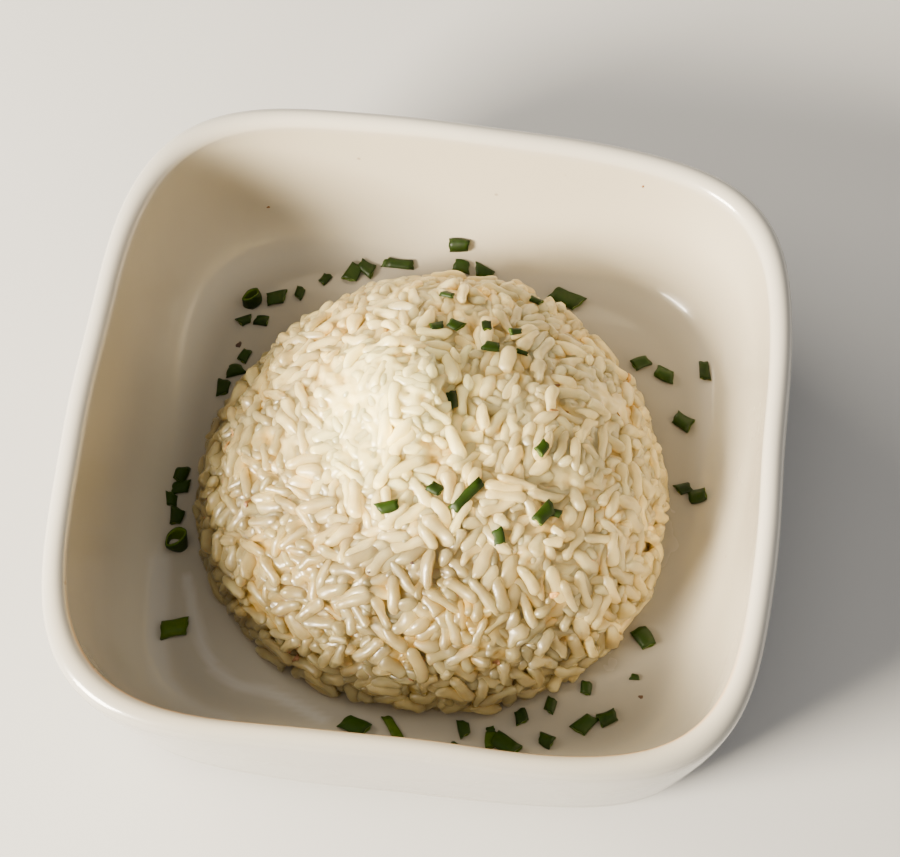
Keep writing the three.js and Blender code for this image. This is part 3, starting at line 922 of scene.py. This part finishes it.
def warped(points):
    """Points moved a little along crossing waves, so that no two grains keep the same outline."""
    moved = [crossing_waves(points, WARP_SEED + axis, **WARP_WAVES) for axis in range(3)]
    return points + WARP_SIZE * np.stack(moved, 1)


def rice_tone(x, y):
    """The usual tone of the rice at x, y: whitest on the crown, a painted light, and darkest toward the
    front left, a painted shade.
    """
    away = (x - CROWN_LIGHT_MIDDLE[0]) ** 2 + (y - CROWN_LIGHT_MIDDLE[1]) ** 2
    reach = np.hypot(x, y)
    facing = (SHADE_HEADING[0] * x + SHADE_HEADING[1] * y) / (reach + 1)
    front_shade = smooth_step(reach, SHADE_FROM, SHADE_TO) * smooth_step(facing, *SHADE_FACING)
    dry = smooth_step(x, DRY_FROM, DRY_TO)
    return GRAIN_TONE + PAINTED_CROWN_LIGHT * np.exp(-away / CROWN_LIGHT_SPREAD**2) - SHADE_TONE * front_shade + DRY_TONE * dry


def make_grains(rng, packed, material):
    """One piece for each kind of grain."""
    kinds, lengths, widths, centres, directions = packed
    _depth, normals = dome_field(centres)
    pieces = []
    for index, (name, kind) in enumerate(GRAIN_KINDS.items()):
        chosen = np.flatnonzero(kinds == index)
        shape = np.stack([grain_shape(rng, kind) for _ in chosen])
        size = np.stack([widths[chosen], lengths[chosen], widths[chosen]], 1)
        turned = frame_of(directions[chosen], normals[chosen], rng.uniform(0, 2 * np.pi, len(chosen)))
        points = np.einsum("gij,gpj->gpi", turned, shape * size[:, None, :])
        points = points + centres[chosen][:, None, :]
        one = grid_faces(GRAIN_RINGS, GRAIN_SIDES)
        count = GRAIN_RINGS * GRAIN_SIDES
        faces = (one[None, :, :] + (np.arange(len(chosen)) * count)[:, None, None]).reshape(-1, 4)
        usual = rice_tone(centres[chosen, 0], centres[chosen, 1])
        tone = np.repeat(np.clip(rng.normal(usual, TONE_SPREAD), 0, 1), count)
        points = warped(points.reshape(-1, 3))
        points[:, 2] = np.maximum(points[:, 2], FLOOR_HEIGHT + CLEARANCE)
        # Depth under the dome's surface sets the painted shade in the gaps.
        fields = {"tone": tone, "depth": np.clip(-dome_field(points)[0] / GAP_SHADE_DEPTH, 0, 1)}
        pieces.append(new_piece("rice_" + name, points, faces, material, fields))
    return pieces


def make_core(material):
    """The mass that the grains are bedded in, with its hollows."""
    turn = np.linspace(0, 2 * np.pi, CORE_COLUMNS, endpoint=False)
    points = []
    for lift in np.linspace(0, 0.5 * np.pi, CORE_ROWS):
        k = 2 / DOME_ROUNDNESS
        side = max(math.cos(lift), 0.0) ** k
        reach = side * (DOME_RADIUS + DOME_UNEVEN * np.sin(3 * turn + DOME_UNEVEN_TURN))
        x = DOME_MIDDLE[0] + reach * np.cos(turn)
        y = DOME_MIDDLE[1] + reach * np.sin(turn)
        z = DOME_BASE + DOME_RISE * math.sin(lift) ** k + dome_relief(x, y) * min(1, lift * RELIEF_FADE)
        points.append(np.stack([x, y, z], 1))
    points = np.vstack(points)
    _distance, normals = dome_field(points)
    x, y, z = points.T
    pressed = PRESSED_UNEVEN * crossing_waves(points, **PRESSED_WAVES)
    for middle_x, middle_y, spread, strength in PRESSED_PLACES:
        pressed += strength * np.exp(-((x - middle_x) ** 2 + (y - middle_y) ** 2) / spread**2)
    pressed = smooth_step(pressed, *PRESSED_FADE)
    inset = CORE_DEPTH_LOOSE + (CORE_DEPTH_PRESSED - CORE_DEPTH_LOOSE) * pressed
    inset = inset + CORE_HOLLOWS * crossing_waves(points, **HOLLOW_WAVES)
    over_foot = smooth_step(z, DOME_BASE + CORE_FOOT_FROM, DOME_BASE + CORE_FOOT_TO)
    inset = inset + CORE_FOOT_INSET * (1 - over_foot)
    points = points - np.maximum(inset, CORE_LEAST_DEPTH)[:, None] * normals
    points[:, 2] = np.maximum(points[:, 2], DOME_BASE + CLEARANCE)
    # Depth under the dome's surface sets the painted shade on the core.
    depth = np.clip(-dome_field(points)[0] / GAP_SHADE_DEPTH, 0, 1)
    tone = np.clip(rice_tone(x, y) + CORE_TONE_SPREAD * crossing_waves(points, **TONE_WAVES), 0, 1)
    faces = grid_faces(CORE_ROWS, CORE_COLUMNS)
    return new_piece("rice_core", points, faces, material, {"tone": tone, "depth": depth})


def chive_shape(rng, length, width, standing):
    """A chopped piece of hollow chive along Y: rows of points, 1 for each inner one, and its squash."""
    turn = np.linspace(0, 2 * np.pi, CHIVE_SIDES, endpoint=False)
    squash = rng.uniform(*(STANDING_SQUASH if standing else LYING_SQUASH))
    crease = phase(rng)
    slants = rng.uniform(-CUT_SLANT, CUT_SLANT, 2)
    taper = rng.uniform(-CHIVE_TAPER, CHIVE_TAPER)
    bend = rng.uniform(-CHIVE_BEND, CHIVE_BEND)

    def ring(y, inset, end):
        reach = 1 + CHIVE_RIPPLE * np.sin(2 * turn + crease + y)
        reach = reach + CHIVE_FLUTE * np.sin(3 * turn + 2 * crease)
        reach = width / 2 * (1 + taper * y / length) * reach - inset
        x = reach * np.cos(turn)
        z = np.maximum(width / 2 * squash - inset, LEAST_HOLLOW) / (width / 2) * reach * np.sin(turn)
        z = z * (1 + CHIVE_SWELL * math.sin(crease + y))
        slant = slants[0] * (0.5 - y / length) + slants[1] * (0.5 + y / length)
        ragged = RAGGED_CUT * end * np.sin(4 * turn + 3 * crease)
        return np.stack([x + bend * (y / length) ** 2 * width, y + slant * x + ragged, z], 1)

    stations = np.linspace(-length / 2, length / 2, CHIVE_STEPS)
    cut = (np.abs(stations) > 0.49 * length).astype(float)
    rows = [ring(y, 0.0, end) for y, end in zip(stations, cut)]
    rows += [ring(stations[-1] - CUT_INSET, CHIVE_WALL * 0.5, 1)]
    rows += [ring(y, CHIVE_WALL, end) for y, end in zip(stations[::-1], cut)]
    rows += [ring(stations[0] + CUT_INSET, CHIVE_WALL * 0.5, 1)]
    inside = np.concatenate([np.zeros(CHIVE_STEPS), np.ones(CHIVE_STEPS + 2)])
    return np.vstack(rows), np.repeat(inside, CHIVE_SIDES), squash


def heading(degrees, normal):
    """The direction at an angle in degrees from X, laid into the plane across normal."""
    turn = math.radians(degrees)
    along = np.array([math.cos(turn), math.sin(turn), 0.0])
    return unit(along - along.dot(normal) * normal)


def make_chives(name, rng, places, surface, material):
    """One piece that holds the chopped chives of places, each lying on surface(x, y)."""
    points, faces, tones, insides = [], [], [], []
    # The last row of points joins the first, so that skin and inside close at both cuts.
    rows = 2 * CHIVE_STEPS + 2
    last = (rows - 1) * CHIVE_SIDES
    column = np.arange(CHIVE_SIDES)
    after = (column + 1) % CHIVE_SIDES
    closing = np.stack([last + column, last + after, after, column], 1)
    one = np.vstack([grid_faces(rows, CHIVE_SIDES), closing])
    for x, y, length, width, degrees, standing in places:
        shape, inside, squash = chive_shape(rng, length, width, standing)
        point, normal = surface(x, y)
        up, along = normal, heading(degrees, normal)
        lift = width / 2 * squash - LYING_SINK
        if standing:
            up, along = along, unit(normal + STANDING_LEAN * along)
            up = unit(up - up.dot(along) * along)
            lift = length / 2 - STANDING_SINK
        basis = np.stack([np.cross(along, up), along, up], 1)
        faces.append(one + len(points) * len(shape))
        points.append(shape @ basis.T + point + normal * lift)
        tone = np.clip(rng.normal(CHIVE_TONE, CHIVE_TONE_SPREAD), 0, 1)
        tones.append(np.full(len(shape), tone))
        insides.append(inside)
    fields = {"tone": np.concatenate(tones), "inside": np.concatenate(insides)}
    return new_piece(name, np.vstack(points), np.vstack(faces), material, fields)


def make_husks(name, rng, places, surface, material, tops=None):
    """One piece that holds flat crumbs, thick in the middle and ragged at the edge, on surface(x, y).

    Over grain tops a crumb follows their height."""
    points, tones = [], []
    lift = np.linspace(-0.5 * np.pi, 0.5 * np.pi, HUSK_RINGS)[:, None]
    turn = np.linspace(0, 2 * np.pi, HUSK_SIDES, endpoint=False)[None, :]
    for x, y, length, width, degrees, tone in places:
        ragged = 1.0
        for size, count in HUSK_TEETH:
            ragged = ragged + size * np.sin(count * turn + phase(rng))
        across = width / 2 * np.cos(lift) * ragged * np.cos(turn)
        along = length / 2 * np.cos(lift) * ragged * np.sin(turn)
        up = min(HUSK_BULGE * width, HUSK_MOST_BULGE) * np.sin(lift)
        shape = np.stack([across, along, np.broadcast_to(up, along.shape)], -1).reshape(-1, 3)
        point, normal = surface(x, y)
        ahead = heading(degrees, normal)
        basis = np.stack([np.cross(ahead, normal), ahead, normal], 1)
        if tops is not None:
            local = (tops - point) @ basis
            beside = (np.abs(local[:, :2]) < length + DRAPE_REACH).all(1)
            near = local[beside & (local[:, 2] > TOPS_FROM)]
            gap = np.hypot(shape[:, None, 0] - near[None, :, 0], shape[:, None, 1] - near[None, :, 1])
            high = np.where(gap < DRAPE_REACH, near[None, :, 2], TOPS_FROM).max(1)
            shape[:, 2] += np.where(high > TOPS_FROM, high, np.median(high))
        points.append(shape @ basis.T + point + HUSK_LIFT * normal)
        tones.append(np.full(len(shape), tone))
    one = grid_faces(HUSK_RINGS, HUSK_SIDES)
    faces = np.vstack([one + k * HUSK_RINGS * HUSK_SIDES for k in range(len(places))])
    return new_piece(name, np.vstack(points), faces, material, {"tone": np.concatenate(tones)})


def piece_points(piece):
    """The points of a piece in millimetres."""
    points = np.zeros(3 * len(piece.data.vertices))
    piece.data.vertices.foreach_get("co", points)
    return points.reshape(-1, 3) / MM


def bowl_place(x, y):
    """The point of the bowl's inner surface over x, y and its normal."""
    step = 0.5
    slope_x = (bowl_height(x + step, y) - bowl_height(x - step, y)) / (2 * step)
    slope_y = (bowl_height(x, y + step) - bowl_height(x, y - step)) / (2 * step)
    return np.array([x, y, bowl_height(x, y)]), unit(np.array([-slope_x, -slope_y, 1.0]))


def rice_place(x, y):
    """Where something small comes to rest on the grains about x, y."""
    point, normal = dome_point(x, y)
    away = grain_points - point
    height = away @ normal
    beside = np.linalg.norm(away - height[:, None] * normal, axis=1)
    under = height[(beside < REST_REACH) & (height > TOPS_FROM)]
    rest = np.percentile(under, REST_PERCENTILE) if len(under) else 0.0
    return point + rest * normal, normal


def make_stage():
    """The plain pale floor."""
    corners = STAGE_HALF * np.array([(-1, -1, 0), (1, -1, 0), (1, 1, 0), (-1, 1, 0)], float)
    corners[:, 2] = -STAGE_DROP
    floor = new_piece("studio_floor", corners, np.array([[0, 1, 2, 3]]), floor_material())


def make_camera():
    """The camera where the photograph was taken from, rolled as it was."""
    elevation = math.radians(CAMERA_ELEVATION)
    azimuth = math.radians(CAMERA_AZIMUTH)
    roll = math.radians(CAMERA_ROLL)
    back = Vector((
        math.sin(azimuth) * math.cos(elevation),
        -math.cos(azimuth) * math.cos(elevation),
        math.sin(elevation),
    ))
    right = Vector((0, 0, 1)).cross(back).normalized()
    up = back.cross(right)
    turned_right = right * math.cos(roll) + up * math.sin(roll)
    turned_up = up * math.cos(roll) - right * math.sin(roll)
    data = bpy.data.cameras.new("camera")
    data.sensor_width = SENSOR_WIDTH
    data.lens = CAMERA_LENS
    camera = bpy.data.objects.new("camera", data)
    place = (Vector(CAMERA_TARGET) + back * CAMERA_DISTANCE) * MM
    turned = Matrix((turned_right, turned_up, back)).transposed().to_4x4()
    camera.matrix_world = Matrix.Translation(place) @ turned
    bpy.context.scene.collection.objects.link(camera)
    bpy.context.scene.camera = camera


def add_softbox(name, azimuth, elevation, distance, size, power, colour, mirrored=True):
    """A square area light that looks at the bowl: azimuth 0 is in front of it and 90 to its right.

    A light that isn't mirrored leaves no bright patch on the glaze."""
    data = bpy.data.lights.new(name, "AREA")
    data.size = size
    data.energy = power
    data.color = colour
    light = bpy.data.objects.new(name, data)
    light.visible_glossy = mirrored
    a, e = math.radians(azimuth), math.radians(elevation)
    back = Vector((math.sin(a) * math.cos(e), -math.cos(a) * math.cos(e), math.sin(e)))
    light.location = back * distance + Vector((0, 0, LIGHT_AIM))
    light.rotation_euler = back.to_track_quat("Z", "Y").to_euler()
    bpy.context.scene.collection.objects.link(light)


def make_lights():
    """A warm key light from the left, softer ones about it and a dim even sky."""
    add_softbox("key", -52, 25, 1.1, 0.42, 103, (1.0, 0.89, 0.71))
    add_softbox("side", -112, 22, 1.2, 1.1, 36, (1.0, 0.91, 0.77), mirrored=False)
    add_softbox("overhead", -30, 80, 1.3, 1.2, 8, (1.0, 0.93, 0.82), mirrored=False)
    add_softbox("fill", 88, 42, 1.3, 1.2, 5.5, (0.97, 0.97, 1.0), mirrored=False)
    world = bpy.data.worlds.new("studio")
    world.use_nodes = True
    sky = world.node_tree.nodes["Background"]
    sky.inputs["Color"].default_value = (0.93, 0.93, 0.94, 1.0)
    sky.inputs["Strength"].default_value = 0.095
    bpy.context.scene.world = world


def keep(piece, slot, *nodes):
    """Every piece rides on the one body and stands for its CAD nodes, which it hides; the slot is not
    used.
    """
    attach(piece, "root")
    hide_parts(*nodes)


make_camera()
make_lights()
make_stage()

rng = np.random.default_rng(20)
bowl = make_bowl()
rice_skin = rice_material()
packed = pack_grains(rng)
grain_pieces = make_grains(rng, packed, rice_skin)
core = make_core(rice_skin)
grain_points = np.vstack([piece_points(piece) for piece in grain_pieces])
green = chive_material()
floor_chives = CHIVES_BEHIND + CHIVES_RIGHT + CHIVES_IN_FRONT + CHIVES_LEFT
chives_in_bowl = make_chives("chives_in_bowl", rng, floor_chives, bowl_place, green)
chives_on_rice = make_chives("chives_on_rice", rng, CHIVES_ON_RICE, rice_place, green)
brown = husk_material()
husks_on_rice = make_husks("husks_on_rice", rng, HUSKS_ON_RICE, dome_point, brown, grain_points)
specks_in_bowl = make_husks("specks_in_bowl", rng, SPECKS_IN_BOWL, bowl_place, brown)

keep(bowl, "glaze", "dish")
keep(chives_in_bowl, "chive", "dish")
for piece in grain_pieces + [core]:
    keep(piece, "cooked_rice", "rice")
keep(chives_on_rice, "chive", "rice")
keep(husks_on_rice, "cooked_rice", "rice")
keep(specks_in_bowl, "glaze", "dish")
